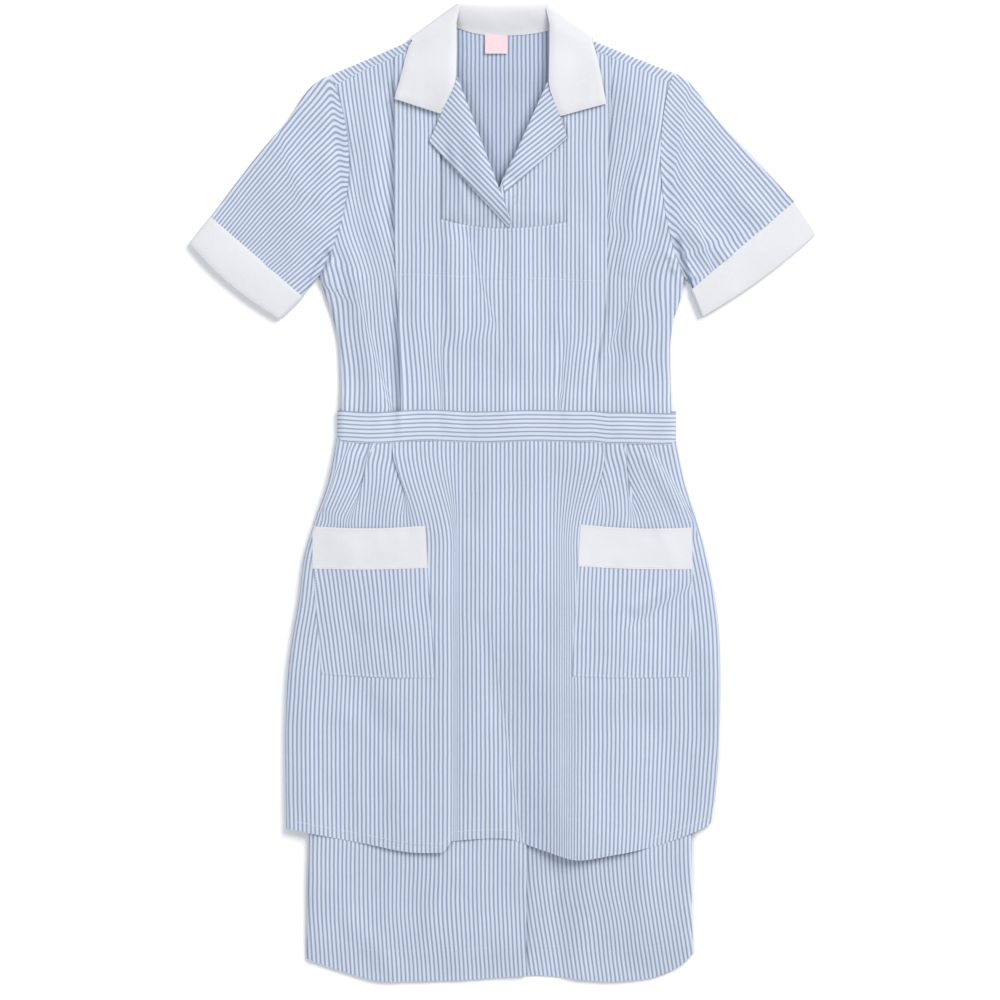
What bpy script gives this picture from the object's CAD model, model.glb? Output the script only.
"""The looks of the striped maid's dress and its bib apron, laid on their back on a table.

Lengths are in millimetres until a mesh is made: x runs to the right, y from the hem up to
the collar, and z up from the table. Each piece is a thin shell on its solid's form. Its
grid follows the threads of the cloth, and its map holds each point's place in the cloth,
in millimetres across and along the threads, so that the woven stripes bend with it.
"""

from math import atan2, copysign, cos, dist, exp, hypot, pi, radians, sin, sqrt, tau

import bmesh
import bpy
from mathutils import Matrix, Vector, noise


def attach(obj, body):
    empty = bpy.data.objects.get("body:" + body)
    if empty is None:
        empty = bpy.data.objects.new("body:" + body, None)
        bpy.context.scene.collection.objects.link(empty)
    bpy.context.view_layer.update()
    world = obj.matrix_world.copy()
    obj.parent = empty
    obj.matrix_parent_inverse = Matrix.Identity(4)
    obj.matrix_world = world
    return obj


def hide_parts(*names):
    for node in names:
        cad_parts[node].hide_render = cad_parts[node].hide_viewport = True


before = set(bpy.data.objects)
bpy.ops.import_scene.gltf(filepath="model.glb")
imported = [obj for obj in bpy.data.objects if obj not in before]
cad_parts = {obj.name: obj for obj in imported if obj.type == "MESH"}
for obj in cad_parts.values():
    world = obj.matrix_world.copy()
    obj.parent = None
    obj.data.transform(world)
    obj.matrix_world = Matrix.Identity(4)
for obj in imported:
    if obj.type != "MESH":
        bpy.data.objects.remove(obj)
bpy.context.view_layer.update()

MM = 0.001
CLOTH = 0.35  # the striped cloth's wall, where a piece has no wall of its own
COLLAR_WALL, CUFF_WALL, STAND_WALL, LABEL_WALL = 1.5, 1.2, 0.7, 0.5
POCKET_WALL, POCKET_BAND_WALL, WAIST_BACK_WALL = 0.2, 0.3, 1.1
STACK = 0.55  # from the face of one layer to the face of the next one on it
HAIR = 0.04  # the space left at a seam, too fine to see
WELD = 1e-6
SHARP_DEGREES = 48
STRIPE_REPEAT = 4.7
RIM = 7.0  # how far in from its side folds the garment is rounded
WAIST_RIM = RIM + 2.2
BACK_RISE, FRONT_RISE, BIB_RISE = 0.8, 2.9, 1.3  # each from the layer below, at its edges
WAIST_LEFT, WAIST_RIGHT, WAIST_BOTTOM, WAIST_TOP = -185.6, 193.6, 56.7, 91.6
DRESS_HEM_FROM, APRON_HEM_FROM = -440, -260  # where the cloth starts to follow its hem
APRON_LAST_ROW = -375


def table(columns, rows):
    """A table as one tuple of values for each named column. Commas part its rows."""
    cells = [
        [word if word.isalpha() else float(word) for word in row.split()]
        for row in rows.split(",")
    ]
    return dict(zip(columns.split(), zip(*cells)))


FOLD = "x0 y0 x1 y1 half_width height"
CREASE = "x0 y0 x1 y1 width height high hide_start hide_end"
SHIFT = "x y reach_x reach_y shift"

# Outlines
DRESS_SIDES = table("y left right", """
    -521 -220 213, -456 -219 211, -389 -217 211, -232 -216 214, -120 -209 212, -30 -199 204,
    26 -186 194, 57 -181 190, 104 -181 188, 160 -183 187, 190 -189 190, 215 -197 198, 241 -205 203
""")
DRESS_HEM = table("x y", """
    -220 -521, -181 -535, -130 -547, -67 -546, 0 -542, 37 -540, 120 -547, 159 -544, 195 -531,
    213 -515
""")
LEFT_EDGE = table("y x", "-543 26, -389 26, 91 19, 296 10.5, 302 9, 465 -51.5, 525 -53")
RIGHT_EDGE = table("y x", "-543 -26, 91 -24, 296 -18, 339 -5, 421 34, 460 50.5, 525 53")
APRON_SIDES = table("y left right", """
    -400 -242 229, -375 -242.5 233, -344 -243 237.5, -277 -243.5 242, -209 -241 243, -165 -236 242,
    -120 -228.5 237.5, -75 -223 229, -30 -210 217, 15 -195 203, 57 -186.5 194.5
""")
APRON_HEM = table("x y", """
    -243 -375, -159 -391, -91 -402, -68 -402, -56 -389, -3 -386, 47 -400, 84 -410, 120 -405,
    169 -395, 212 -380, 235 -368
""")
APRON_SWAGS = table("y left right", """
    -410 4.6 7, -300 4.2 10.6, -200 3.2 10.2, -100 2 6.8, -30 1.1 2.4, 30 0.5 0.8, 57 0.2 0.2
""")
NECKLINE = table("x y", "-54 523, -30 516, -8 513.5, 20 514.5, 40 517, 54 520")
LEFT_SHOULDER = table("x y", "-194 467.5, -54 527")
RIGHT_SHOULDER = table("x y", "54 524, 192 470")
# How far the yoke reaches down from the shoulder's fold to its seam, the part of that which
# is round, and how much further down its seam runs at the sleeve
YOKE_TURN, YOKE_DROP, SEAM_DIP = 10.5, 3.0, 3.0
ARMHOLES = {
    "left": {"tip": (-194, 467.5), "pit": (-208, 241), "depth": 28.5, "fullness": 0.8},
    "right": {"tip": (192, 470), "pit": (207, 236), "depth": -22.4, "fullness": 0.7},
}
SLEEVES = {
    "left": table("along upper_x upper_y under_x under_y", """
        0 -194 467.5 -208 241, 0.05 -204 463 -208.8 240, 0.13 -216 453.5 -210 238,
        0.35 -242 416.5 -213.5 233.5, 0.57 -272 381 -217 229.5, 1 -327 309 -224 219.5
    """),
    "right": table("along upper_x upper_y under_x under_y", """
        0 192 470 207 236, 0.05 201 466 207.2 235.5, 0.13 212 456 207.5 235,
        0.33 236 424 208.2 233, 0.59 270.5 386 209 230.5, 1 326.5 326.5 210 227
    """),
}
CUFFS = {
    "left": {"upper": (-351, 280), "under": (-248.6, 194), "bow": 6.0},
    "right": {"upper": (351, 291), "under": (221.5, 196), "bow": 4.5},
}
SLEEVE_HEIGHT = 6.3
DARTS = ((-180, 225, -122, 238), (118, 245, 168, 234))
COLLAR_LEAVES = {
    "left": table("along roll_x roll_y edge_x edge_y", """
        0 -69.5 423.6 -121.6 440.5, 0.4 -52.5 465.5 -114 467, 0.7 -51.8 501 -108.6 488,
        1 -51.8 527 -105 500
    """),
    "right": table("along roll_x roll_y edge_x edge_y", """
        0 63.5 421 115.4 435, 0.4 51.2 461 110.3 462.6, 0.7 51.8 498 105.8 485, 1 51.8 524 102 498
    """),
}
COLLAR_CONTOURS = {
    "left": {"roll": (-51.8, 547.5), "edge": (-104.5, 509.5)},
    "right": {"roll": (51.8, 547), "edge": (102.5, 511)},
}
LAPELS = {
    "left": {
        "roll": (-51.8, 463.8),
        "corner": (-82.5, 393),
        "end": ((8.6, 301.8), (5.6, 296.8)),
        "grain": -46,
    },
    "right": {
        "roll": (50.4, 459),
        "corner": (72, 397),
        "end": ((0.0, 346), (2.0, 335)),
        "grain": 39,
    },
}
BIB_TOP = table("x y", "-70 306.5, -50 301.5, 0 296, 45 299, 71 303")
POCKETS = {
    "left": {"top": (-212.5, -84, -84.2, -83.2), "bottom": (-203.5, -202.5, -75.5, -206.5)},
    "right": {"top": (83.7, -81.2, 212, -84.6), "bottom": (76.6, -204.5, 208.5, -205.5)},
}
POCKET_BANDS = {
    "left": {"top": (-213.0, -37, -86.8, -36.5), "bottom": (-213.0, -84.5, -84.2, -83.7)},
    "right": {"top": (86.7, -35, 211, -38.5), "bottom": (83.7, -81.7, 212, -85.1)},
}

# Folds, as ridges and troughs along lines
FRONT_FOLDS = table(FOLD, """
    -127 450 -126 300 9 -3.6, -127 300 -126 258 7 -1.2, -124 214 -120 88 7 -2.2,
    -124 150 -120 84 11 -3.6, -168 262 -140 96 17 1.6, -184 206 -160 96 16 -0.9,
    -190 160 -182 96 13 1, -190 318 -160 226 16 1.2, -146 440 -142 292 15 1.2,
    -168 430 -164 330 14 -0.8, 121 420 117 100 34 -3.2, 160 404 122 306 13 -1.4,
    152 338 134 262 13 1.1, 172 292 126 168 15 -1.6, 184 256 160 160 16 1.3,
    146 205 130 110 13 0.8, 168 150 152 92 13 -0.9, 164 470 168 330 17 1.2,
    -60 -420 -84 -480 16 1.6, -120 -420 -135 -520 22 1.4, 96 -430 82 -530 20 1.8,
    160 -410 150 -500 20 1.3, 60 -415 58 -540 12 -1.2, -170 -480 -120 -536 16 1.2,
    -56 385 -40 310 8 1.2, 44 380 30 330 9 1.2, 62 392 40 345 7 -0.8, -76 352 -74 296 30 -3.2,
    -60 298 58 296 12 -2.3
""")
BIB_FOLDS = table(FOLD, """
    -42 300 -10 190 14 -2.4, -10 215 -16 150 16 -1.4, 16 296 24 160 24 2, -64 290 -50 180 17 1.8,
    62 280 66 190 17 1.3, -70 300 -72 92 8 -1.2, 70 190 63 95 7 -1.1, -95 260 -98 120 16 1,
    94 270 92 130 16 1, 40 140 44 96 13 -0.9, -36 150 -40 94 12 -0.9, 0 150 4 94 14 0.9,
    -118 190 -114 94 9 2.6, -118 440 -118 300 7 1.2, 96 450 94 330 12 0.8, -96 450 -95 330 12 0.8
""")
SKIRT_FOLDS = table(FOLD, """
    153 54 200 -18 14 1.5, -163 50 -200 -8 12 1.6, 128 34 144 -20 15 -1.8,
    -112 30 -108 -30 12 -0.9, -177 -215 -112 -284 20 -1.3, -196 -290 -166 -385 24 -1.3,
    222 -270 164 -384 26 -2.2, -164 -30 -172 -90 15 0.7, -98 -34 -86 -110 16 0.7,
    94 -20 84 -100 15 0.6, 176 -34 196 -90 14 0.7, -190 -90 -160 -165 17 -0.8,
    -120 -300 -96 -390 26 0.9, -196 -240 -186 -360 26 -0.8, -215 -140 -222 -330 18 0.8,
    -36 -60 -40 -380 20 1.5, -24 -150 4 -290 13 -1.3, -2 -280 20 -380 14 -1.6,
    112 -252 166 -262 22 -0.9, 170 -300 140 -380 26 0.8, 214 -200 200 -330 24 -1,
    228 -120 228 -270 16 0.7, 90 -230 96 -395 26 1, -10 50 -16 -60 26 1, 36 46 30 -70 24 0.9
""")
ARMPIT_FOLDS = table(FOLD, """
    -197 264 -212 238 6.5 -6.5, -206 250 -214 232 8 -3.5, 194 276 208 226 7 -6.5,
    201 250 209 226 9 -3, 184 266 206 252 4 2.4, 189 252 211 242 4 2.6, 196 240 213 232 4 2
""")
POCKET_FOLDS = table(FOLD, """
    212 -90 146 -128 8 1.9, 206 -116 150 -147 8 -1.2, -205 -86 -160 -165 9 -0.7
""")
# Sharp folds, each along a line. The cloth stands up on one side of it, "left" or "right",
# and hidden is how much of it goes into the steep side, at the line's start and its end.
FRONT_CREASES = table(CREASE, """
    -166 226 -127 92 5 1 left 2 6, 160 404 120 306 4.5 0.6 right 1 4,
    176 285 124 170 5 0.7 right 1 4, -196 262 -209 238 5 2 right 2 3
""")
BIB_CREASES = table(CREASE, """
    -70 188 -70.5 80 1.6 0.35 left 0.5 8, 70.5 168 63.5 80 1.6 0.35 right 0.5 8,
    -46 296 -12 190 6 0.4 left 2 3
""")
SKIRT_CREASES = table(CREASE, """
    158 54 214 -36 7 0.8 left 3 6, -167 52 -206 -14 6 0.6 right 3 5,
    -16 -158 20 -384 4 0.3 left 1 3
""")
POCKET_CREASES = table(CREASE, "212 -98 140 -145 7 0.2 left 2.5 1")
# How far the threads of the two bodice fronts lie aside of straight, at heights on them
LEFT_LEAN = table("y shift", """
    -545 -2, -440 3, 91 -11, 150 -8, 222 0, 245 3, 300 17, 375 33, 460 46, 525 52
""")
RIGHT_LEAN = table("y shift", """
    -545 -16, -400 2, 91 2, 236 0, 248 -1, 300 -11, 375 -21, 460 -32, 525 -40
""")
# Pleats let into the waistband, counted outward from the centre: side, where its fold lies
# in the cloth at the waist, how far outward it runs for each mm down, the cloth that it
# hides, where it lies flat again, and its height
PLEATS = (
    ("left", 122.0, -0.07, 40.0, -42.0, 1.7),
    ("left", 187.0, 0.2, 34.0, -48.0, 1.5),
    ("right", 112.0, 0.0, 34.0, -30.0, 1.5),
    ("right", 168.0, -0.1, 34.0, -52.0, 1.7),
)
# The steep sides of the two swags: how far from the centre they start in the cloth, how wide
# they are, and the cloth that they hide, which grows down from the waist
SWAG_CLOTH = {"left": (46.0, 34.0, 20.0), "right": (48.0, 60.0, 18.0)}
# Places where the threads run aside of straight: centre, reach each way, and shift
BODY_SHIFTS = table(SHIFT, """
    -165 225 45 70 -5, -150 330 26 60 2, 140 335 30 60 4, 160 240 38 60 5, -160 140 40 60 -3,
    150 140 36 60 2.5, -90 -470 60 60 2, 110 -480 60 50 -2.5
""")
BIB_SHIFTS = table(SHIFT, """
    -95 130 34 70 -2.5, 90 130 30 70 2.5, -12 230 22 60 1.4, 96 380 24 60 1, -94 390 24 60 -0.8,
    66 150 14 60 -2, -70 150 14 60 2
""")


# How far the height of a crease, the trough at its foot and its threads' shift reach
CREASE_REACH, CREASE_FOOT, CREASE_SPREAD = 26, 8, 60


def curve(tab, column, value):
    """A smooth line that runs through a table's points and never overshoots them, read
    where the table's first column is at value."""
    xs, ys = next(iter(tab.values())), tab[column]
    if value <= xs[0]:
        return ys[0]
    if value >= xs[-1]:
        return ys[-1]
    i = max(k for k in range(len(xs) - 1) if xs[k] <= value)
    slopes = [(ys[k + 1] - ys[k]) / (xs[k + 1] - xs[k]) for k in range(len(xs) - 1)]

    def tangent(k):
        if k in (0, len(xs) - 1):
            return slopes[min(k, len(slopes) - 1)]
        before, after = slopes[k - 1], slopes[k]
        return 0.0 if before * after <= 0 else 2 * before * after / (before + after)

    span = xs[i + 1] - xs[i]
    t = (value - xs[i]) / span
    return (
        ys[i] * (1 + 2 * t) * (1 - t) ** 2
        + ys[i + 1] * t * t * (3 - 2 * t)
        + tangent(i) * span * t * (1 - t) ** 2
        - tangent(i + 1) * span * t * t * (1 - t)
    )


def clamp(value):
    return min(max(value, 0.0), 1.0)


def ramp(start, end, value):
    t = clamp((value - start) / (end - start))
    return t * t * (3 - 2 * t)


def mix(a, b, t):
    return a + (b - a) * t


def above(a, b, soft=1.2):
    """The larger of two heights, blended smoothly where they are close."""
    t = clamp(0.5 + 0.5 * (a - b) / soft)
    return mix(b, a, t) + soft * t * (1 - t)


def side_of(x):
    return "left" if x < 0 else "right"


def arc(radius, degrees):
    """How far a fold's round edge lies in from its line, and its height, at an angle."""
    turn = radians(degrees)
    return radius * (1 - cos(turn)), radius * (1 + sin(turn))


def along_grain(grain, x, y):
    """A point's place in cloth whose threads run at an angle."""
    across, along = sin(grain), cos(grain)
    return -x * across + y * along, x * along + y * across


def round_over(distance, width):
    inward = clamp(distance / width)
    return sqrt(1 - (1 - inward) ** 2)


def folds(tab, x, y):
    """The height that the ridges and troughs of a table add at a point."""
    total = 0.0
    for x0, y0, x1, y1, half_width, height in zip(*tab.values()):
        dx, dy = x1 - x0, y1 - y0
        t = ((x - x0) * dx + (y - y0) * dy) / (dx * dx + dy * dy)
        along = clamp(t)
        across = (x - x0) - along * dx
        ahead = (y - y0) - along * dy
        off = hypot(across, ahead * 0.6)
        if off < half_width:
            total += height * cos(pi / 2 * off / half_width) ** 2
    return total


def creases(tab, x, y):
    """The height that sharp folds add at a point, and how far they push its thread aside."""
    rise = aside = 0.0
    for x0, y0, x1, y1, width, height, high, hide_start, hide_end in zip(*tab.values()):
        dx, dy = x1 - x0, y1 - y0
        length = hypot(dx, dy)
        t = ((x - x0) * dx + (y - y0) * dy) / length**2
        if t < -0.15 or t > 1.15:
            continue
        fade = ramp(-0.15, 0.1, t) * ramp(1.15, 0.95, t)
        side = 1 if high == "right" else -1
        inside = (dx * (y - y0) - dy * (x - x0)) / length * (-side if dy > 0 else side)
        beyond = max(inside, 0)
        wall = ramp(-width, 0, inside)
        rise += fade * height * wall * exp(-((beyond / CREASE_REACH) ** 2))
        rise -= fade * height * 0.4 * exp(-(((inside + width) / CREASE_FOOT) ** 2))
        hidden = mix(hide_start, hide_end, clamp(t)) * fade
        aside += side * hidden * wall * exp(-((beyond / CREASE_SPREAD) ** 2))
    return rise, aside


def shifts(tab, x, y):
    """How far aside the threads run at a point."""
    total = 0.0
    for cx, cy, reach_x, reach_y, shift in zip(*tab.values()):
        off = hypot((x - cx) / reach_x, (y - cy) / reach_y)
        if off < 1:
            total += shift * cos(pi / 2 * off) ** 2
    return total


def ripple(x, y, size_x, size_y, height, seed):
    """Soft uneven relief."""
    return height * noise.noise(Vector((x / size_x, y / size_y, seed)))


# Heights of the faces of the layers


def lift(x, y):
    """What lies between the table and the back."""
    apron = 1.8 * ramp(-500, -392, y) * ramp(126, 98, y)
    collar = 2.5 * ramp(438, 480, y) * ramp(160, 104, abs(x))
    return apron + collar


def back_face(x, y):
    return lift(x, y) + BACK_RISE + ripple(x, y, 40, 90, 0.25, 3.1)


def armhole(side, y):
    hole = ARMHOLES[side]
    (tip_x, tip_y), (pit_x, pit_y) = hole["tip"], hole["pit"]
    down = clamp((tip_y - y) / (tip_y - pit_y))
    return mix(tip_x, pit_x, down) + hole["depth"] * sin(pi * down) ** hole["fullness"]


def body_edge(side, y):
    if y <= 235:
        return curve(DRESS_SIDES, side, y)
    gap = HAIR if side == "left" else -HAIR
    return mix(curve(DRESS_SIDES, side, y), armhole(side, y) + gap, ramp(235, 251, y))


def puff(x, y):
    left = curve(DRESS_SIDES, "left", y)
    right = curve(DRESS_SIDES, "right", y)
    inward = min(x - left, right - x)
    room = 2.2 + 1.2 * exp(-max(inward - RIM, 0) / 25)
    return room * mix(1.0, round_over(inward, RIM), ramp(259, 229, y))


def roll_spring(x, y):
    """How far the fronts spring up at the neck, where they turn back as lapels."""
    if y < 290:
        return 0.0
    left = x - curve(LEFT_EDGE, "x", y)
    right = curve(RIGHT_EDGE, "x", y) - x
    reach = 26
    rise = 0.0
    if x < 12:
        rise = 7.2 * exp(-((left / reach) ** 2)) * ramp(292, 336, y)
    if x > -4:
        rise = max(rise, 6.0 * exp(-((right / reach) ** 2)) * ramp(322, 366, y))
    return rise * mix(1.0, 0.45, ramp(440, 510, y))


def seams(x, y):
    """The grooves of the darts and the armhole seams."""
    groove = 0.0
    for side in ("left", "right"):
        off = abs(x - body_edge(side, y)) if y > 250 else 99
        if off < 4:
            groove -= 0.35 * (1 - off / 4)
    for x0, y0, x1, y1 in DARTS:
        t = (x - x0) / (x1 - x0)
        if 0 < t < 1:
            off = abs(y - mix(y0, y1, t))
            groove -= 0.5 * max(0, 1 - off / 3.5) * sin(pi * t) ** 0.5
    return groove


def front_face(x, y, side=None):
    """The dress fronts; side is given where the two of them part."""
    covered = ramp(88, 60, y) * ramp(-400, -370, y)
    plain = lift(x, y) + (FRONT_RISE + puff(x, y)) * mix(1.0, 0.62, ramp(-490, -540, y))
    relief = folds(FRONT_FOLDS, x, y) + folds(ARMPIT_FOLDS, x, y)
    relief += ripple(x, y, 26, 60, 0.9, 1.7)
    relief = (relief + creases(FRONT_CREASES, x, y)[0] + seams(x, y)) * (1 - covered)
    overlap = 0.0
    if side == "left":
        overlap = STACK * ramp(-34, -26, x) + 0.9 * ramp(8, 26, x) * ramp(-380, -430, y)
    if side != "left":
        relief -= 2.7 * ramp(-24, 14, x) * ramp(96, 28, x) * ramp(-370, -430, y)
    face = above(plain + relief, lift(x, y) + 1.6)
    return face + overlap + roll_spring(x, y)


def bib_face(x, y):
    under = max(front_face(x, y), front_face(x, y, "left")) if y < 320 else front_face(x, y)
    plain = lift(x, y) + FRONT_RISE + puff(x, y) + BIB_RISE
    relief = folds(BIB_FOLDS, x, y) + creases(BIB_CREASES, x, y)[0]
    relief += ripple(x, y, 30, 55, 1.0, 5.3)
    return above(plain + relief, under + STACK, 0.5)


def swag(x, y):
    """The two slack folds, which stand up on the outer sides of a flat channel."""
    left = curve(APRON_SWAGS, "left", y) * ramp(-54, -66, x)
    left *= mix(0.1, 1.0, ramp(-200, -80, x))
    start = mix(19, -20, ramp(-385, -150, y))
    top = mix(72, 62, ramp(-380, -300, y))
    climb = clamp((x - start) / (top - start))
    climb = mix(climb, climb * climb * (3 - 2 * climb), 0.35)
    right = curve(APRON_SWAGS, "right", y) * climb * mix(0.15, 1.0, ramp(190, 90, x))
    return left + right


def skirt_face(x, y):
    """The apron's skirt away from its side folds and its pleats."""
    left = curve(DRESS_SIDES, "left", y) + 10
    right = curve(DRESS_SIDES, "right", y) - 10
    inside = min(max(x, left), right)
    flat_y = max(y, -372)
    under = lift(inside, flat_y) + FRONT_RISE + puff(inside, flat_y)
    under += STACK * ramp(-36, -28, inside) * ramp(36, 30, inside)
    if y < -350:
        under = max(under, front_face(inside, y, "right"))
        if inside < 30:
            under = max(under, front_face(inside, y, "left"))
    relief = folds(SKIRT_FOLDS, x, y) + ripple(x, y, 34, 80, 1.7, 7.9)
    relief = (relief + creases(SKIRT_CREASES, x, y)[0]) * ramp(57, 34, y)
    return above(under + 0.8 + swag(x, y) + relief, under + 0.5, 0.6)


def skirt_outer(x, y):
    """The same with its side folds, for what lies on it."""
    left = curve(APRON_SIDES, "left", y)
    right = curve(APRON_SIDES, "right", y)
    top = skirt_face(x, y)
    return top / 2 + top / 2 * round_over(min(x - left, right - x), top / 2)


# Materials


class Nodes:
    """Short ways to add and wire the nodes of one material."""

    def __init__(self, name):
        self.material = bpy.data.materials.new(name)
        self.material.use_nodes = True
        self.tree = self.material.node_tree
        self.place = self.add("TexCoord").outputs["Object"]

    def fill(self, node, inputs):
        for key, value in inputs.items():
            if isinstance(value, bpy.types.NodeSocket):
                self.tree.links.new(value, node.inputs[key])
            else:
                node.inputs[key].default_value = value
        return node

    def surface(self, inputs):
        self.fill(self.tree.nodes["Principled BSDF"], inputs)

    def add(self, kind, inputs=(), **settings):
        node = self.tree.nodes.new(f"ShaderNode{kind}")
        for key, value in settings.items():
            setattr(node, key, value)
        return self.fill(node, dict(inputs))

    def math(self, operation, first, second=0.0):
        return self.add("Math", {0: first, 1: second}, operation=operation).outputs[0]

    def blend(self, factor, first, second, kind="MIX"):
        inputs = {0: factor, 6: first, 7: second}
        return self.add("Mix", inputs, data_type="RGBA", blend_type=kind).outputs[2]

    def spread(self, value, low, high, out_low=0.0, out_high=1.0):
        inputs = {0: value, 1: low, 2: high, 3: out_low, 4: out_high}
        return self.add("MapRange", inputs, interpolation_type="SMOOTHSTEP").outputs[0]

    def noise(self, scale, detail, place=None):
        place = self.place if place is None else place
        inputs = {"Vector": place, "Scale": scale, "Detail": detail}
        return self.add("TexNoise", inputs).outputs["Fac"]

    def in_cloth(self):
        """A point's place in its piece of cloth, across and along the threads."""
        parts = self.add("SeparateXYZ", {0: self.add("UVMap", uv_map="cloth").outputs[0]})
        return parts.outputs[0], parts.outputs[1]


def weave(nodes, in_cloth, thread, strength):
    """The bump of plain weave, with slubs and the faint crumple of handled cloth."""
    per_mm = 2 * pi / thread
    waves = [nodes.math("SINE", nodes.math("MULTIPLY", way, per_mm)) for way in in_cloth]
    # strength, depth in metres, and height: of the threads, the slubs and the crumple
    bumps = (
        (strength, 0.00012, nodes.math("MULTIPLY", *waves)),
        (0.25, 0.0002, nodes.noise(900.0, 3.0)),
        (0.35, 0.0016, nodes.noise(55.0, 4.0)),
    )
    normal = {}
    for amount, depth, height in bumps:
        inputs = {"Strength": amount, "Distance": depth, "Height": height, **normal}
        normal = {"Normal": nodes.add("Bump", inputs).outputs[0]}
    nodes.surface(normal)


def dimmed(colour, share):
    """A colour darkened to a share of itself."""
    return tuple(c * share for c in colour[:3]) + (1,)


def striped_cloth(name, dark, light, share=0.44, soft=0.17):
    """Poly-cotton with a woven stripe: coloured bars across the cloth's own u."""
    nodes = Nodes(name)
    u, v = nodes.in_cloth()
    wander = nodes.math("MULTIPLY", nodes.noise(26.0, 2.0), 1.1)
    turn = nodes.math("DIVIDE", nodes.math("ADD", u, wander), STRIPE_REPEAT)
    turn = nodes.math("MULTIPLY", nodes.math("FRACT", turn), 2.0)
    wave = nodes.math("ABSOLUTE", nodes.math("SUBTRACT", turn, 1.0))
    bars = nodes.blend(nodes.spread(wave, share - soft, share + soft), dark, light)
    yarn_place = nodes.add("CombineXYZ", {0: nodes.math("MULTIPLY", u, 2.6), 1: v}).outputs[0]
    yarn = nodes.noise(0.9, 3.0, yarn_place)
    yarn_tone = nodes.spread(yarn, 0.25, 0.75, 0.94, 1.05)
    cloud_tone = nodes.spread(nodes.noise(7.0, 3.0), 0.3, 0.7, 0.97, 1.02)
    tone = nodes.math("MULTIPLY", yarn_tone, cloud_tone)
    shade = nodes.add("CombineXYZ", {0: tone, 1: tone, 2: tone}).outputs[0]
    nodes.surface({
        "Base Color": nodes.blend(1.0, bars, shade, "MULTIPLY"),
        "Roughness": nodes.spread(yarn, 0.3, 0.7, 0.78, 0.92),
        "Specular IOR Level": 0.25,
        "Sheen Weight": 0.08,
        "Sheen Roughness": 0.5,
    })
    weave(nodes, (u, v), 0.55, 0.5)
    return nodes.material


def white_cloth(name, colour, thread=0.6):
    """Plain cloth or tape; thread is how many mm its weave takes to repeat."""
    nodes = Nodes(name)
    cloud = nodes.noise(14.0, 4.0)
    nodes.surface({
        "Base Color": nodes.blend(nodes.spread(cloud, 0.3, 0.7), dimmed(colour, 0.965), colour),
        "Roughness": nodes.spread(cloud, 0.3, 0.7, 0.72, 0.88),
        "Specular IOR Level": 0.25,
        "Sheen Weight": 0.06,
    })
    weave(nodes, nodes.in_cloth(), thread, 0.4)
    return nodes.material


def sewing_thread(name, colour):
    nodes = Nodes(name)
    twist = nodes.blend(nodes.noise(1600.0, 1.0), dimmed(colour, 0.9), colour)
    nodes.surface({"Base Color": twist, "Roughness": 0.6})
    return nodes.material


def plain_floor(name):
    nodes = Nodes(name)
    tint = nodes.blend(nodes.noise(2.0, 2.0), (0.93, 0.935, 0.94, 1), (0.95, 0.95, 0.95, 1))
    nodes.surface({"Base Color": tint, "Roughness": 0.9, "Specular IOR Level": 0.1})
    return nodes.material


STRIPED = striped_cloth("striped_poly_cotton", (0.285, 0.332, 0.446, 1), (0.590, 0.650, 0.762, 1))
WAIST = striped_cloth(
    "striped_waistband", (0.285, 0.330, 0.434, 1), (0.592, 0.650, 0.757, 1), share=0.36, soft=0.16
)
WHITE = white_cloth("white_poly_cotton", (0.672, 0.678, 0.704, 1))
PINK = white_cloth("label_satin_tape", (0.84, 0.60, 0.63, 1), 0.35)
INSIDE = striped_cloth("striped_inside", (0.248, 0.296, 0.410, 1), (0.510, 0.575, 0.705, 1))
THREAD = sewing_thread("white_thread", (0.80, 0.81, 0.85, 1))

# Making the pieces


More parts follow.
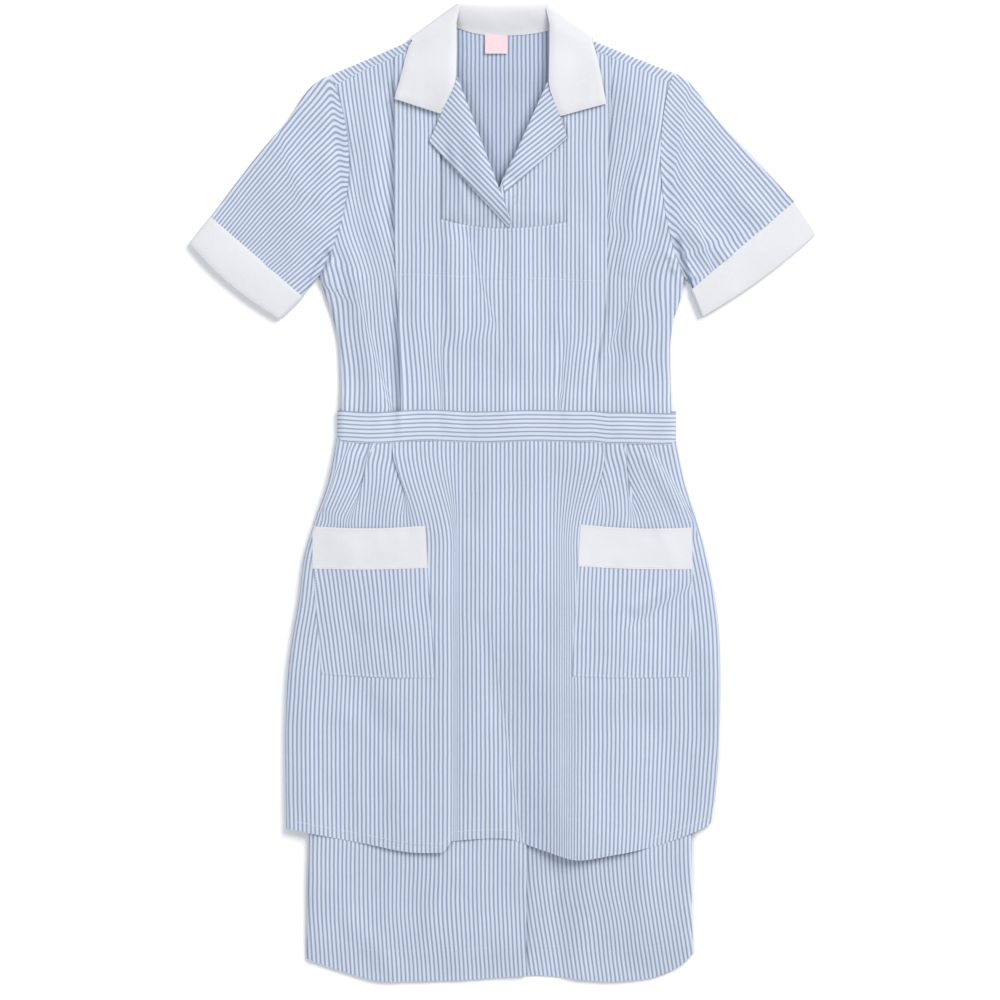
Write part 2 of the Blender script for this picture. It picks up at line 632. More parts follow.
def cloth(
    name, node, size, place, wall=CLOTH, finish=STRIPED,
    flat=None, outward=False, ring=False, notch=None, under=None,
):
    """Puts a thin shell in the place of a solid. place(i, j) gives the x, y and z of a point
    of its grid, and that point's place in the cloth."""
    across, along = size
    sheet = bmesh.new()
    bmesh.ops.create_grid(sheet, x_segments=across - 1, y_segments=along - 1, size=0.5)

    def cell(spot):
        return (spot.x + 0.5) * (across - 1), (spot.y + 0.5) * (along - 1)

    if notch:
        gone = [face for face in sheet.faces if notch(*cell(face.calc_center_median()))]
        bmesh.ops.delete(sheet, geom=gone, context="FACES")
    sheet.verts.index_update()
    in_cloth = {}
    for vertex in sheet.verts:
        x, y, z, u, v = place(*map(round, cell(vertex.co)))
        vertex.co = Vector((x, y, z)) * MM
        in_cloth[vertex.index] = (u, v)
    layer = sheet.loops.layers.uv.new("cloth")
    for face in sheet.faces:
        face.smooth = True
        for loop in face.loops:
            loop[layer].uv = in_cloth[loop.vert.index]
    if ring:
        bmesh.ops.remove_doubles(sheet, verts=sheet.verts, dist=WELD)
    mesh = bpy.data.meshes.new(name)
    sheet.to_mesh(mesh)
    sheet.free()
    for material in (finish, under):
        if material:
            mesh.materials.append(material)
    piece = bpy.data.objects.new(name, mesh)
    bpy.context.scene.collection.objects.link(piece)
    area = sum(polygon.area for polygon in mesh.polygons)
    thick = piece.modifiers.new("wall", "SOLIDIFY")
    thick.thickness = wall * MM
    thick.offset = 1.0 if outward else -1.0
    thick.use_even_offset = False
    thick.material_offset = thick.material_offset_rim = 1 if under else 0
    evaluated = piece.evaluated_get(bpy.context.evaluated_depsgraph_get())
    solid = bpy.data.meshes.new_from_object(evaluated)
    piece.modifiers.clear()
    piece.data = solid
    solid.name = name
    solid.set_sharp_from_angle(angle=radians(SHARP_DEGREES))
    bpy.data.meshes.remove(mesh)

    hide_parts(node)
    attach(piece, "root")
    if not flat:
        us, vs = zip(*(loop.uv for loop in solid.uv_layers["cloth"].data))
        flat = (max(us) - min(us)) * MM, (max(vs) - min(vs)) * MM
    area = min(area, flat[0] * flat[1])


def tube_flat(place, around, rows):
    """The flat size of a tube's cloth: its widest way round, and its longest way along."""

    def path(cells):
        spots = [place(i, j)[:3] for i, j in cells]
        return sum(dist(a, b) for a, b in zip(spots, spots[1:]))

    rounds = [path([(i, j) for i in range(around)]) for j in (0, rows - 1)]
    alongs = [path([(i, j) for j in range(rows)]) for i in range(0, around, 4)]
    return max(rounds) * MM, max(alongs) * MM


def spaced(start, end, cells, rim_start=0.0, rim_end=0.0, rim_cells=6):
    turns = [1 - cos(pi / 2 * k / rim_cells) for k in range(rim_cells)]
    first = [start + rim_start * t for t in turns] if rim_start else []
    last = [end - rim_end * t for t in reversed(turns)] if rim_end else []
    inner = [mix(start + rim_start, end - rim_end, k / cells) for k in range(cells + 1)]
    return first + inner + last


def steps(start, end, size):
    count = max(2, round(abs(end - start) / size))
    return [mix(start, end, k / count) for k in range(count + 1)]


def shoulder_seam(side, x):
    line = LEFT_SHOULDER if side == "left" else RIGHT_SHOULDER
    return curve(line, "y", x) - YOKE_TURN - SEAM_DIP * ramp(150, 190, abs(x))


def make_front(side):
    left = side == "left"
    edge = LEFT_EDGE if left else RIGHT_EDGE
    seam_y = 457.0 if left else 461.0
    neck_y = 518.0 if left else 516.0
    rows = [(y, y) for y in steps(-521, 236, 4.2)]
    rows += [(mix(241, seam_y, t), mix(241, neck_y, t)) for t in steps(0, 1, 0.016)]
    columns = 84

    def place(i, j):
        outer_y, inner_y = rows[j]
        outer, inner = body_edge(side, outer_y), curve(edge, "x", inner_y)
        xs = spaced(outer, inner, columns, rim_start=RIM if left else -RIM)
        x = xs[i] if left else xs[-1 - i]
        share = (x - outer) / (inner - outer)
        y = mix(outer_y, inner_y, share)
        if outer_y < DRESS_HEM_FROM:
            y += (curve(DRESS_HEM, "y", x) + 521) * ramp(DRESS_HEM_FROM, -521, outer_y)
        fit = ramp(seam_y - 60, seam_y, outer_y)
        seam = shoulder_seam(side, x) - HAIR
        y = seam if j == len(rows) - 1 else mix(y, min(y, seam), fit)
        lean = curve(LEFT_LEAN if left else RIGHT_LEAN, "shift", y)
        lean *= ramp(82, 112, abs(x)) if y > -300 else 1.0
        u = x + lean + creases(FRONT_CREASES, x, y)[1] + shifts(BODY_SHIFTS, x, y)
        return x, y, front_face(x, y, side), u, y

    size = columns + 7, len(rows)
    cloth(f"dress_front_{side}", f"front_{side}", size, place)


def yoke_seam(x):
    return 456 - 17 * (x / 190) ** 2


def make_back():
    rows, columns = steps(-520, 439, 6.5), 66

    def place(i, j):
        y = rows[j]
        x = mix(body_edge("left", y), body_edge("right", y), i / columns)
        y = mix(y, yoke_seam(x) - HAIR, ramp(300, 439, y))
        if y < DRESS_HEM_FROM:
            y += (curve(DRESS_HEM, "y", x) + 522.5) * ramp(DRESS_HEM_FROM, -520, rows[j])
        return x, y, back_face(x, y), x, y

    size = columns + 1, len(rows)
    cloth("dress_back", "back", size, place, finish=INSIDE, under=STRIPED)


def make_yoke_back():
    columns, rows = 90, 24
    knots = table("share x", "0 -186.8, 0.34 -57.6, 0.37 -52.6, 0.63 52.6, 0.66 57.6, 1 186.8")

    def top(x):
        if abs(x) < 53:
            return curve(NECKLINE, "y", x)
        return shoulder_seam(side_of(x), x) - HAIR

    def place(i, j):
        x = curve(knots, "x", i / columns)
        y = mix(yoke_seam(x), top(x), j / rows)
        return x, y, back_face(x, y) + HAIR, x, y

    size = columns + 1, rows + 1
    cloth("dress_yoke_back", "yoke_back", size, place, finish=INSIDE, under=STRIPED)


def make_yoke_shoulder(side):
    left = side == "left"
    line = LEFT_SHOULDER if left else RIGHT_SHOULDER
    tip, neck = ARMHOLES[side]["tip"][0], -57.0 if left else 57.0
    columns = steps(0, 1, 0.022) if left else steps(1, 0, 0.022)
    flats = 5
    rows = [("under", j / flats) for j in range(flats)]
    rows += [("turn", radians(15 * k - 90)) for k in range(13)]
    rows += [("over", (j + 1) / flats) for j in range(flats)]
    slope = atan2(line["y"][1] - line["y"][0], line["x"][1] - line["x"][0])
    grain = 2 * slope - pi / 2

    def place(i, j):
        part, t = rows[j]
        drop = YOKE_DROP * (1 - cos(t))
        if part != "turn":
            near, far = (YOKE_TURN, YOKE_DROP) if part == "under" else (YOKE_DROP, YOKE_TURN)
            drop = mix(near, far, t)
        outer = tip
        for _ in range(6):
            outer = body_edge(side, curve(line, "y", outer) - drop)
        x = mix(outer, neck, columns[i])
        fold = curve(line, "y", x)
        seam = shoulder_seam(side, x)
        bottom = lift(x, seam) + 0.2
        top = front_face(x, seam, side) - 0.3
        radius = (top - bottom) / 2
        if part == "under":
            y, z = mix(seam, fold - radius, t), bottom
        elif part == "over":
            y, z = mix(fold - radius, seam, t), top
        else:
            y = fold - radius + radius * cos(t)
            z = bottom + radius * (1 + sin(t))
        return x, y, z, *along_grain(grain, x, y)

    size = len(columns), len(rows)
    cloth(f"dress_yoke_{side}", f"yoke_{side}", size, place, outward=True)


def sleeve_ring(height, cells, under_cells):
    """The outer line round a flattened sleeve: share across, mm in from a fold, z."""
    near = [(0, *arc(height / 2, 15 * k)) for k in range(-6, 7)]
    far = [(1, -inward, z) for _, inward, z in reversed(near)]
    top = [(k / cells, 0, height) for k in range(1, cells)]
    under = [(1 - k / under_cells, 0, 0) for k in range(1, under_cells)]
    return near[6:] + top + far + under + near[:7]


def sleeve_point(side, along, share, inset, grow=0.0):
    sections = SLEEVES[side]
    upper = Vector([curve(sections, f"upper_{c}", along) for c in "xy"])
    under = Vector([curve(sections, f"under_{c}", along) for c in "xy"])
    across = (under - upper).normalized()
    point = upper.lerp(under, share) + across * (inset + grow * (2 * share - 1))
    hole = ARMHOLES[side]
    down = share + inset / (under - upper).length
    bow = hole["depth"] * max(sin(pi * down), 0.0) ** hole["fullness"]
    return point + Vector((bow * (1 - ramp(0.0, 0.62, along)), 0))


SLEEVE_GRAIN = {"left": 52.0, "right": 131.3}
# How much the threads turn away from the outer fold, and where that fold and the middle lie
FAN = {"left": (0.2, 444.0, -1, 150.0), "right": (0.13, -457.0, 1, 126.0)}
SLEEVE_CREASES = {
    "left": table(CREASE, """
        -186 500 -168 345 15 1.1 right -17 -7, -250 420 -226 330 9 0.3 right 1 2
    """),
    "right": table(CREASE, """
        206 462 190 350 7 0.3 left 2 2, 216 300 232 244 6 1.2 left 2 3,
        198 264 210 228 5 2.4 right 3 4
    """),
}
SLEEVE_FOLDS = {
    "left": table(FOLD, """
        -196 420 -204 330 12 0.9, -184 395 -186 300 9 -0.6, -222 300 -262 250 16 1.6,
        -240 360 -290 300 20 1.4, -216 262 -244 228 9 -1.2, -206 300 -236 270 12 1.2,
        -262 372 -300 322 14 -1.2
    """),
    "right": table(FOLD, """
        200 420 206 340 14 0.7, 184 400 184 310 9 -0.5, 214 300 250 262 16 1.6,
        236 372 284 318 20 1.4, 212 262 236 238 9 -1.4, 200 300 226 276 12 1,
        262 330 300 300 16 1.4
    """),
}


def make_sleeve(side):
    left = side == "left"
    stations = steps(0, 1, 0.0125)
    ring = sleeve_ring(SLEEVE_HEIGHT, 104, 30)
    grain = radians(SLEEVE_GRAIN[side])

    def place(i, j):
        share, inset, z = ring[-1 - i] if left else ring[i]
        along = stations[j]
        point = sleeve_point(side, along, share, inset)
        clear = (1 - along) * (HAIR if left else -HAIR)
        x, y = point.x - clear, point.y
        if z == SLEEVE_HEIGHT:
            relief = folds(SLEEVE_FOLDS[side], x, y) + ripple(x, y, 26, 26, 0.9, 11.3)
            relief += creases(SLEEVE_CREASES[side], x, y)[0]
            crown = sin(pi * share)
            relief += (0.9 if left else 1.6) * crown**0.6 * ramp(0, 0.25, along)
            z += relief * crown**0.5
            z = above(z + folds(ARMPIT_FOLDS, x, y), 1.9)
        u, v = along_grain(grain, x, y)
        turn, fold_u, way, middle_v = FAN[side]
        u += turn * (v - middle_v) * clamp(way * (u - fold_u) / 110)
        u -= creases(SLEEVE_CREASES[side], x, y)[1]
        cap = ramp(0.2, 0.0, along) * sin(pi * share)
        u += cap * (1.0 if left else -4.0) + ripple(x, y, 30, 30, 0.8, 2.2)
        return x, y, z, u, v

    size = len(ring), len(stations)
    flat = tube_flat(place, *size)
    cloth(f"dress_sleeve_{side}", f"sleeve_{side}", size, place, flat=flat, ring=True)


def make_cuff(side):
    left = side == "left"
    height = SLEEVE_HEIGHT + 1.4
    ring = sleeve_ring(height, 52, 26)
    outer = CUFFS[side]
    rows = steps(0, 1, 0.07)

    def place(i, j):
        share, inset, z = ring[-1 - i] if left else ring[i]
        near = sleeve_point(side, 1.0, share, inset, 0.9)
        upper, under = Vector(outer["upper"]), Vector(outer["under"])
        across = (under - upper).normalized()
        out = Vector((across.y, -across.x))
        if out.y > 0:
            out = -out
        far = upper.lerp(under, share) + across * inset
        far += out * outer["bow"] * sin(pi * share)
        t = rows[j]
        point = near.lerp(far, t)
        crown = sin(pi * clamp(share)) ** 0.5
        if z == height:
            relief = 1.8 * sin(pi * mix(0.12, 0.8, t))
            z += crown * (relief + ripple(point.x, point.y, 40, 40, 1.0, 4.4))
        edge = ramp(0.0, 0.08, t) * ramp(1.0, 0.93, t)
        z = mix(height / 2, z, mix(0.86, 1.0, edge))
        return point.x, point.y, z, (near - far).length * t, share * 130

    size = len(ring), len(rows)
    cloth(
        f"dress_cuff_{side}", f"cuff_{side}", size, place, CUFF_WALL, WHITE,
        flat=tube_flat(place, *size), ring=True,
    )


def collar_face(x, y):
    curl = (3.0 if x < 0 else 1.8) * ramp(505, 436, y)
    return above(bib_face(x, y), front_face(x, y, side_of(x)) + STACK) + 2.2 + curl


def make_collar_fall():
    leaf_steps = steps(0, 1, 0.06)
    turns = [90 - 12 * k for k in range(16)]
    backs = steps(-1, 1, 0.09)
    across = steps(0, 1, 0.05)

    def leaf(side, a, t):
        stations = COLLAR_LEAVES[side]
        roll = Vector([curve(stations, f"roll_{c}", a) for c in "xy"])
        edge = Vector([curve(stations, f"edge_{c}", a) for c in "xy"])
        point = roll.lerp(edge, t)
        crown = 1.3 * sin(pi * t) * mix(0.6, 1.0, a)
        drop = 1.2 * (ramp(0.1, 0.0, t) + ramp(0.93, 1.0, t) + ramp(0.05, 0.0, a))
        ease = ripple(point.x, point.y, 30, 30, 0.7, 8.8)
        return point.x, point.y, collar_face(point.x, point.y) + crown - drop + ease

    def turn(side, angle, t):
        contour = COLLAR_CONTOURS[side]
        roll, edge = Vector(contour["roll"]), Vector(contour["edge"])
        along = (edge - roll).normalized()
        inward = Vector((-along.y, along.x))
        if inward.y > 0:
            inward = -inward
        out = roll.lerp(edge, t)
        inner = out + inward * 7
        radius = (collar_face(inner.x, inner.y) - 0.6) / 2
        inset, up = arc(1, angle)
        return *(out + inward * radius * inset), radius * up

    def back(a, t):
        roll_y = mix(544.5, 546, abs(a) ** 2)
        return mix(38 * a, 66 * a, t), mix(roll_y, 484 + 2 * abs(a), t), 0.0

    stations = [lambda t, a=a: leaf("left", a, t) for a in leaf_steps]
    stations += [lambda t, a=a: turn("left", a, t) for a in turns]
    stations += [lambda t, a=a: back(a, t) for a in backs]
    stations += [lambda t, a=a: turn("right", a, t) for a in reversed(turns)]
    stations += [lambda t, a=a: leaf("right", a, t) for a in reversed(leaf_steps)]

    def place(i, j):
        t = across[-1 - j]
        return *stations[i](t), i * 5.4, t * 62

    cloth(
        "collar", "collar_fall", (len(stations), len(across)), place, COLLAR_WALL, WHITE,
        outward=True,
    )


def make_collar_stand():
    columns = steps(-51.6, 51.6, 2.5)
    flats, turns = 10, [80 - 17 * k for k in range(11)]
    radius = 4.2

    def place(i, j):
        x = columns[i]
        seam_y = curve(NECKLINE, "y", x) - 2
        roll_y = mix(545.4, 547.4, (x / 51) ** 2)
        base = back_face(x, seam_y) + 0.85
        top_z = 3.0 + 2 * radius
        if j < flats:
            t = j / flats
            y = mix(seam_y, roll_y - radius, t)
            z = mix(base, top_z, sin(pi / 2 * t) ** 1.3)
        else:
            turn = radians(turns[j - flats])
            y = roll_y - radius + radius * cos(turn)
            z = top_z - radius + radius * sin(turn)
        z += ripple(x, y, 26, 14, 0.5, 6.1) * ramp(0, 4, j)
        return x, y, z, j * 4, x

    cloth(
        "collar_stand_inside", "collar_stand", (len(columns), flats + len(turns)), place,
        STAND_WALL, WHITE,
    )


def make_lapel(side):
    left = side == "left"
    shape = LAPELS[side]
    top, corner = Vector(shape["roll"]), Vector(shape["corner"])
    inner_end, outer_end = (Vector(p) for p in shape["end"])
    blade = steps(0, 1, 0.04)
    roll = [-150, -120, -90, -60, -30]
    rows = steps(0, 1, 0.02)
    grain = radians(shape["grain"])

    def height(t, s):
        point = top.lerp(corner, t).lerp(inner_end.lerp(outer_end, t), s)
        room = mix(1.0, 0.2, ramp(0.55, 1.0, s))
        rise = (2.5 if left else 2.2) * sin(pi * 0.64 * t**0.8) * room
        rise += ripple(point.x, point.y, 24, 34, 1.0, 9.7) * ramp(0, 0.3, t)
        under = above(front_face(point.x, point.y, side), front_face(point.x, point.y, "right"))
        on_strap = ramp(62, 70, abs(point.x))
        under = mix(under, max(under, bib_face(point.x, point.y)), on_strap)
        edge = 0.6 * ramp(0.94, 1.0, t)
        return point, under + STACK + 0.5 + rise - edge

    def place(i, j):
        k = len(blade) + len(roll) - 1 - i if left else i
        s = rows[-1 - j]
        if k >= len(roll):
            point, z = height(blade[k - len(roll)], s)
            x, y = point
        else:
            point, z = height(0.0, s)
            radius = 1.3
            turn = radians(roll[k])
            x = point.x + (radius if left else -radius) * sin(-turn)
            y = point.y
            z = z - radius + radius * cos(turn)
        return x, y, z, *along_grain(grain, x, y)

    size = len(blade) + len(roll), len(rows)
    cloth(f"dress_lapel_{side}", f"lapel_{side}", size, place)


def make_bib():
    strap, centre = 16, 44
    columns = [-1 + k / strap for k in range(strap)]
    columns += [k / centre for k in range(centre)]
    columns += [1 + k / strap for k in range(strap + 1)]
    low_rows = steps(86, 282, 4.2)
    high_rows = steps(0, 1, 0.02)

    def x_at(c, y):
        outer_left, inner_left, inner_right, outer_right = bib_edges(y)
        if c <= 0:
            return mix(outer_left, inner_left, c + 1)
        if c <= 1:
            return mix(inner_left, inner_right, c)
        return mix(inner_right, outer_right, c - 1)

    def place(i, j):
        c = columns[i]
        if j < len(low_rows):
            y = low_rows[j]
            x = x_at(c, y)
        else:
            t = high_rows[j - len(low_rows)]
            x = x_at(c, mix(303, 470, t))
            y = mix(curve(BIB_TOP, "y", x), shoulder_seam(side_of(x), x) - HAIR, t)
        z = bib_face(x, y) - 0.6 * ramp(91.5, 88, y)
        z -= 0.2 * max(0, 1 - abs(y - facing_hem(x)) / 3)
        u = x + creases(BIB_CREASES, x, y)[1] + shifts(BIB_SHIFTS, x, y) + 1.1
        return x, y, z, u, y

    def notch(column, row):
        return strap < column < strap + centre and row > len(low_rows)

    size = len(columns), len(low_rows) + len(high_rows)
    cloth("apron_bib", "bib", size, place, notch=notch)


def waist_wave(x):
    """The waistband's rise and fall along its length."""
    return (
        -2.2 * ramp(95, 122, x)
        + 1.0 * exp(-(((x - 60) / 50) ** 2))
        + 1.2 * exp(-(((x + 90) / 36) ** 2))
        - 1.0 * exp(-(((x + 150) / 26) ** 2))
        + 0.5 * sin(x / 17)
    )


def band_face(x, y):
    inside = min(max(x, WAIST_LEFT + WAIST_RIM), WAIST_RIGHT - WAIST_RIM)
    pleated = ramp(70, 85, abs(x)) * ramp(172, 158, abs(x))
    skirt, bib = skirt_face(inside, 56) + mix(0.14, 0.65, pleated), bib_face(inside, 92) + 0.18
    up = (y - WAIST_BOTTOM) / (WAIST_TOP - WAIST_BOTTOM)
    crown = 0.5 * sin(pi * clamp(up))
    ease = max(0.0, ripple(x, y, 24, 40, 0.8, 12.1)) * crown * 2
    return mix(above(skirt, bib), mix(skirt, bib, ramp(57, 91.5, y)), 0.8) + crown + ease


def make_waistband_front():
    xs = spaced(WAIST_LEFT, WAIST_RIGHT, 160, WAIST_RIM, WAIST_RIM)
    xs = [xs[0]] * 2 + xs + [xs[-1]] * 2
    rows = steps(0, 1, 0.07)

    def place(i, j):
        x, y = xs[i], mix(WAIST_BOTTOM, WAIST_TOP, rows[j])
        low = lift(x, y) + 2.0
        from_end = min(i, len(xs) - 1 - i)
        if from_end < 2:
            z = mix(1.9, low, 0.5 * from_end)
        else:
            inward = min(x - WAIST_LEFT, WAIST_RIGHT - x)
            z = low + (band_face(x, y) - low) * round_over(inward, WAIST_RIM)
        return x, y + waist_wave(x), z, y - WAIST_BOTTOM + 0.4, x

    size = len(xs), len(rows)
    cloth("apron_waistband", "waistband_front", size, place, finish=WAIST)


def make_waistband_back():
    columns, rows, inset = 80, 10, 0.2

    def place(i, j):
        x = mix(WAIST_LEFT + inset, WAIST_RIGHT, i / columns)
        y = mix(WAIST_BOTTOM + inset, WAIST_TOP - inset, j / rows)
        return x, y, 1.2, y, x

    size = columns + 1, rows + 1
    cloth("apron_waistband_back", "waistband_back", size, place, WAIST_BACK_WALL, WAIST)


def skirt_section(side, y, out):
    """A thread's distance from the centre, and its height on its pleats, from its place
    in the cloth, counted outward."""
    start, width, swag_hides = SWAG_CLOTH[side]
    hidden, z = swag_hides * ramp(start, start + width, out) * ramp(50, -60, y), 0.0
    for pleat_side, place, outward, depth, end, height in PLEATS:
        if pleat_side != side:
            continue
        place += outward * (50 - max(y, -60))
        let_go = ramp(end, 50, y)
        span = depth * 0.62
        t = (out - place) / span
        hidden += depth * let_go * ramp(0, 1, t)
        lay = height * let_go ** 0.5 * mix(0.35, 1.0, ramp(58, 36, y))
        if t < 0:
            z += lay * ramp(-30 / span, -0.05, t)
        elif t < 1:
            z += lay * mix(1.0, -0.5, ramp(0.0, 1.0, t))
        else:
            z += lay * -0.5 * ramp(1 + 26 / span, 1.0, t)
    return out - hidden, z


def make_apron_skirt():
    rows = steps(APRON_LAST_ROW, -60, 5.0) + steps(-56, 60.5, 2.6)
    turns = [-90 + 15 * k for k in range(12)]
    wing = [80, 60, 40, 20]
    cells = 216
    left_cloth, right_cloth = -256.0, 253.0

    def centre_line(u, y):
        out, z = skirt_section(side_of(u), y, abs(u))
        return copysign(out, u), z

    def side_fold(edge, way, fold_u, y):
        """The cloth under and round a side fold, and where its face starts. way is 1 on the
        left and -1 on the right."""
        radius = skirt_face(edge + way * 8, y) / 2
        points = [(edge + way * w, 0.0, fold_u - way * (pi * radius + w)) for w in wing]
        for angle in turns:
            inward, z = arc(radius, angle)
            u = fold_u - way * radius * radians(90 - angle)
            points.append((edge + way * inward, z, u))
        return points, edge + way * radius

    def section(y):
        left, start = side_fold(curve(APRON_SIDES, "left", y), 1, left_cloth, y)
        right, end = side_fold(curve(APRON_SIDES, "right", y), -1, right_cloth, y)
        raw_left, _ = centre_line(left_cloth, y)
        raw_right, _ = centre_line(right_cloth, y)
        middle = []
        for k in range(cells + 1):
            u = mix(left_cloth, right_cloth, k / cells)
            x, pleat = centre_line(u, y)
            if u < 0:
                x *= mix(1.0, start / raw_left, ramp(-40, left_cloth, u))
            else:
                x *= mix(1.0, end / raw_right, ramp(40, right_cloth, u))
            x = min(max(x, start), end)
            z = skirt_face(x, y) + pleat * ramp(0, 14, min(x - start, end - x))
            z -= 0.6 * ramp(56.0, 59, y)
            middle.append((x, z, u + creases(SKIRT_CREASES, x, y)[1]))
        return left + middle + right[::-1]

    sections = [section(y) for y in rows]

    def place(i, j):
        y = rows[j]
        x, z, u = sections[j][i]
        if y < APRON_HEM_FROM:
            edge = x if z > 2 else copysign(240, x)
            drop = curve(APRON_HEM, "y", edge) - APRON_LAST_ROW
            y += drop * ramp(APRON_HEM_FROM, APRON_LAST_ROW, y)
        if z > 2:
            y += waist_wave(x) * ramp(20, 56, y)
        return x, y, z, u, rows[j]

    size = len(sections[0]), len(rows)
    cloth("apron_skirt_cloth", "apron_skirt", size, place)


def patch_point(kind, side, s, t):
    """A point on a pocket or its band, made from the skirt's own face and moved out."""
    shape = (POCKETS if kind == "pocket" else POCKET_BANDS)[side]
    low = Vector(shape["bottom"][:2]).lerp(Vector(shape["bottom"][2:]), s)
    high = Vector(shape["top"][:2]).lerp(Vector(shape["top"][2:]), s)
    x, y = low.lerp(high, t)
    bow = sin(pi * s)
    if kind == "pocket":
        dip, gape = 1.5, 0.3 + 1.5 * t
    else:
        dip, gape = mix(1.5, 2.6, t), mix(2.05, 3.6, t)
    y -= dip * bow
    rise = (gape + ripple(x, y, 22, 26, 0.9, 10.9) + folds(POCKET_FOLDS, x, y)) * bow
    return x, y, skirt_outer(x, y) + (0.2 if kind == "pocket" else 0.5) + above(rise, 0.0, 0.3)


def patch(name, kind, side, size, wall, finish):
    def place(i, j):
        s = i / (size[0] - 1)
        x, y, z = patch_point(kind, side, s, j / (size[1] - 1))
        u = x + 2.1 + ripple(x, y, 30, 60, 1.5, 3.3) + creases(POCKET_CREASES, x, y)[1]
        u += (mix(0.15, 0.07, s) if side == "left" else -0.03) * (y + 145)
        return x, y, z, u, y

    cloth(f"{name}_{side}", f"{kind}_{side}", size, place, wall, finish)


def make_pocket(side):
    patch("apron_pocket", "pocket", side, (60, 56), POCKET_WALL, STRIPED)
    wall = POCKET_BAND_WALL
    patch("pocket_band_cloth", "pocket_band", side, (50, 22), wall, WHITE)


def make_label():
    columns, rows, width, length = 16, 14, 25, 23

    def place(i, j):
        s, down = i / columns, 1 - j / rows
        x, y = -7.5 + width * (s - 0.5), 514.5 - length * down
        z = back_face(x, y) + 0.9 + 1.4 * down**1.6 + 0.4 * sin(3 * s + 1)
        return x, y, z, x, y

    size = columns + 1, rows + 1
    cloth("neck_label", "label", size, place, LABEL_WALL, PINK)


# Stitching

STITCH_SIDES = 6


def add_stitch(start, end, radius, points, faces):
    """A short fat thread that dips into the cloth at both of its ends."""
    axis = (end - start).normalized()
    side = axis.cross(Vector((0, 0, 1))).normalized()
    up = side.cross(axis)
    first = len(points)
    last = first + 3 * STITCH_SIDES + 1
    points.append(start - up * radius)
    for t, share in ((0.15, 0.75), (0.5, 1.0), (0.85, 0.75)):
        middle = start.lerp(end, t)
        for k in range(STITCH_SIDES):
            turn = tau * k / STITCH_SIDES
            points.append(middle + (side * cos(turn) + up * sin(turn)) * radius * share)
    points.append(end - up * radius)
    for k in range(STITCH_SIDES):
        a, b = first + 1 + k, first + 1 + (k + 1) % STITCH_SIDES
        faces.append((first, b, a))
        faces.append((last, a + 2 * STITCH_SIDES, b + 2 * STITCH_SIDES))
        for _ in range(2):
            faces.append((a, b, b + STITCH_SIDES, a + STITCH_SIDES))
            a, b = a + STITCH_SIDES, b + STITCH_SIDES


def stitched(name, runs, length=2.2, gap=0.8, radius=0.28):
    """Runs of stitches, each along a line of points on the face of the cloth."""
    points, faces = [], []
    for run in runs:
        line = [Vector(point) + Vector((0, 0, 0.6 * radius)) for point in run]
        travelled, nearest, start = 0.0, 0.0, None
        for a, b in zip(line, line[1:]):
            span = (b - a).length
            while travelled + span >= nearest:
                spot = a.lerp(b, (nearest - travelled) / span)
                if start is None:
                    start = spot
                    nearest += length
                else:
                    add_stitch(start, spot, radius, points, faces)
                    start = None
                    nearest += gap
            travelled += span
    mesh = bpy.data.meshes.new(name)
    mesh.from_pydata([point * MM for point in points], [], faces)
    mesh.shade_smooth()
    mesh.materials.append(THREAD)
    piece = bpy.data.objects.new(name, mesh)
    bpy.context.scene.collection.objects.link(piece)
    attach(piece, "root")


def along_x(start, end, line, face, step=2.5):
    return [(x, line(x), face(x, line(x))) for x in steps(start, end, step)]


def bib_edges(y):
    outer_left = mix(-114, -122, ramp(91, 330, y))
    outer_right = mix(102, 116.5, ramp(91, 240, y)) + 4 * ramp(330, 440, y)
    return outer_left, -70, 71.5, outer_right


def facing_hem(x):
    return mix(244, 240, ramp(-110, 20, x)) - 3 * ramp(30, 110, x)


def stitch_apron():
    runs = [
        along_x(-119.5, 112, facing_hem, bib_face),
        along_x(-69, 70.5, lambda x: curve(BIB_TOP, "y", x) - 1.8, bib_face),
    ]
    bib_lines = ((0, 2, 94, 452), (3, -2, 94, 452), (1, -2, 307, 408), (2, 2, 303, 400))
    for edge, inset, start, end in bib_lines:
        line = [(bib_edges(y)[edge] + inset, y) for y in steps(start, end, 2.5)]
        runs.append([(x, y, bib_face(x, y)) for x, y in line])
    for y in (WAIST_BOTTOM + 1.9, WAIST_TOP - 2.0):
        runs.append([(x, y + waist_wave(x), band_face(x, y)) for x in steps(-174, 182, 2.5)])
    near, far, step = 0.015, 0.985, 0.02
    across = [(s, near) for s in steps(near, far, step)]
    for side in ("left", "right"):
        rim = [(near, t) for t in steps(0.98, near, step)] + across
        rim += [(far, t) for t in steps(near, 0.98, step)]
        runs.append([patch_point("pocket", side, s, t) for s, t in rim])
        for t in (0.05, 0.96):
            runs.append([patch_point("pocket_band", side, s, t) for s, _ in across])
    stitched("apron_stitching", runs)


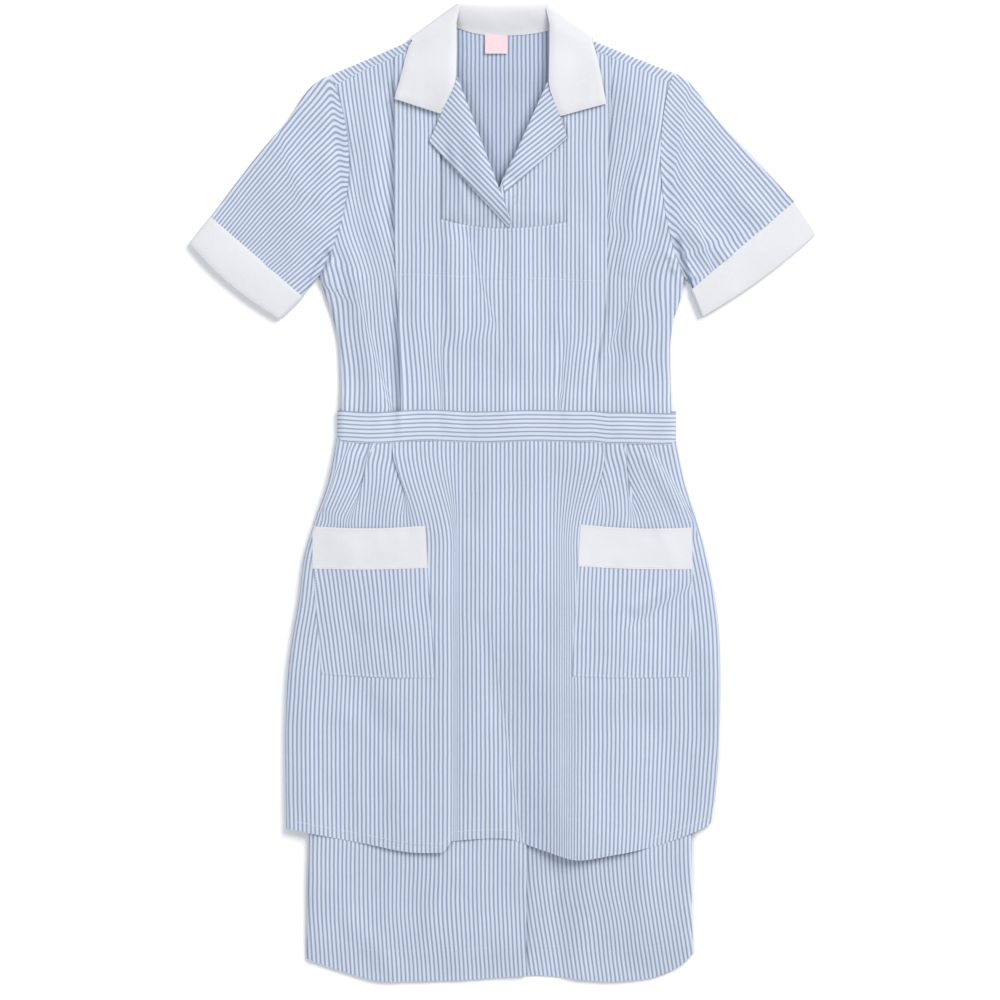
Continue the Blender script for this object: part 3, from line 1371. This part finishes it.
def stitch_hems():
    def apron_line(x):
        return curve(APRON_HEM, "y", x) + 10

    def dress_line(x):
        return curve(DRESS_HEM, "y", x) + 34

    def part(start, end, side):
        return along_x(start, end, dress_line, lambda x, y: front_face(x, y, side))

    apron = [along_x(-232, 226, apron_line, skirt_face, 2.0)]
    dress = [part(-210, 24, "left"), part(29, 206, "right")]
    stitched("apron_hem_stitching", apron)
    stitched("dress_hem_stitching", dress, length=1.4, gap=1.8, radius=0.14)


# The scene

make_back()
make_yoke_back()
for side in ("left", "right"):
    make_front(side)
    make_yoke_shoulder(side)
    make_sleeve(side)
    make_cuff(side)
    make_lapel(side)
    make_pocket(side)
make_collar_fall()
make_collar_stand()
make_label()
make_bib()
make_waistband_front()
make_waistband_back()
make_apron_skirt()
stitch_apron()
stitch_hems()

bpy.ops.mesh.primitive_plane_add(size=9, location=(0, 0, -0.0006))
floor = bpy.context.object
floor.name = "table_top"
floor.data.materials.append(plain_floor("pale_table"))


def area_light(name, place, size, power, colour=(1, 1, 1)):
    """A round light that points at the garment's centre."""
    data = bpy.data.lights.new(name, "AREA")
    data.shape, data.size, data.energy, data.color = "DISK", size, power, colour
    lamp = bpy.data.objects.new(name, data)
    lamp.location = place
    lamp.rotation_euler = (-Vector(place)).to_track_quat("-Z", "Y").to_euler()
    bpy.context.scene.collection.objects.link(lamp)


area_light("key", (3.6, 3.6, 4.3), 4.4, 452, (1.03, 1.0, 0.965))
area_light("fill", (-3.3, -0.9, 4.7), 4.0, 118)
world = bpy.data.worlds.new("studio")
world.use_nodes = True
background = world.node_tree.nodes["Background"].inputs
background["Color"].default_value = (0.91, 0.965, 1.05, 1)
background["Strength"].default_value = 0.42
bpy.context.scene.world = world
bpy.context.scene.view_settings.view_transform = "Standard"

CAMERA_HEIGHT, FRAME_WIDTH, SENSOR = 4.2, 1.12, 36  # metres, and mm for the sensor
camera_data = bpy.data.cameras.new("camera")
camera_data.sensor_width = SENSOR
camera_data.lens = SENSOR * CAMERA_HEIGHT / FRAME_WIDTH
camera = bpy.data.objects.new("camera", camera_data)
camera.location = (-0.0034, -0.0078, CAMERA_HEIGHT)
bpy.context.scene.collection.objects.link(camera)
bpy.context.scene.camera = camera
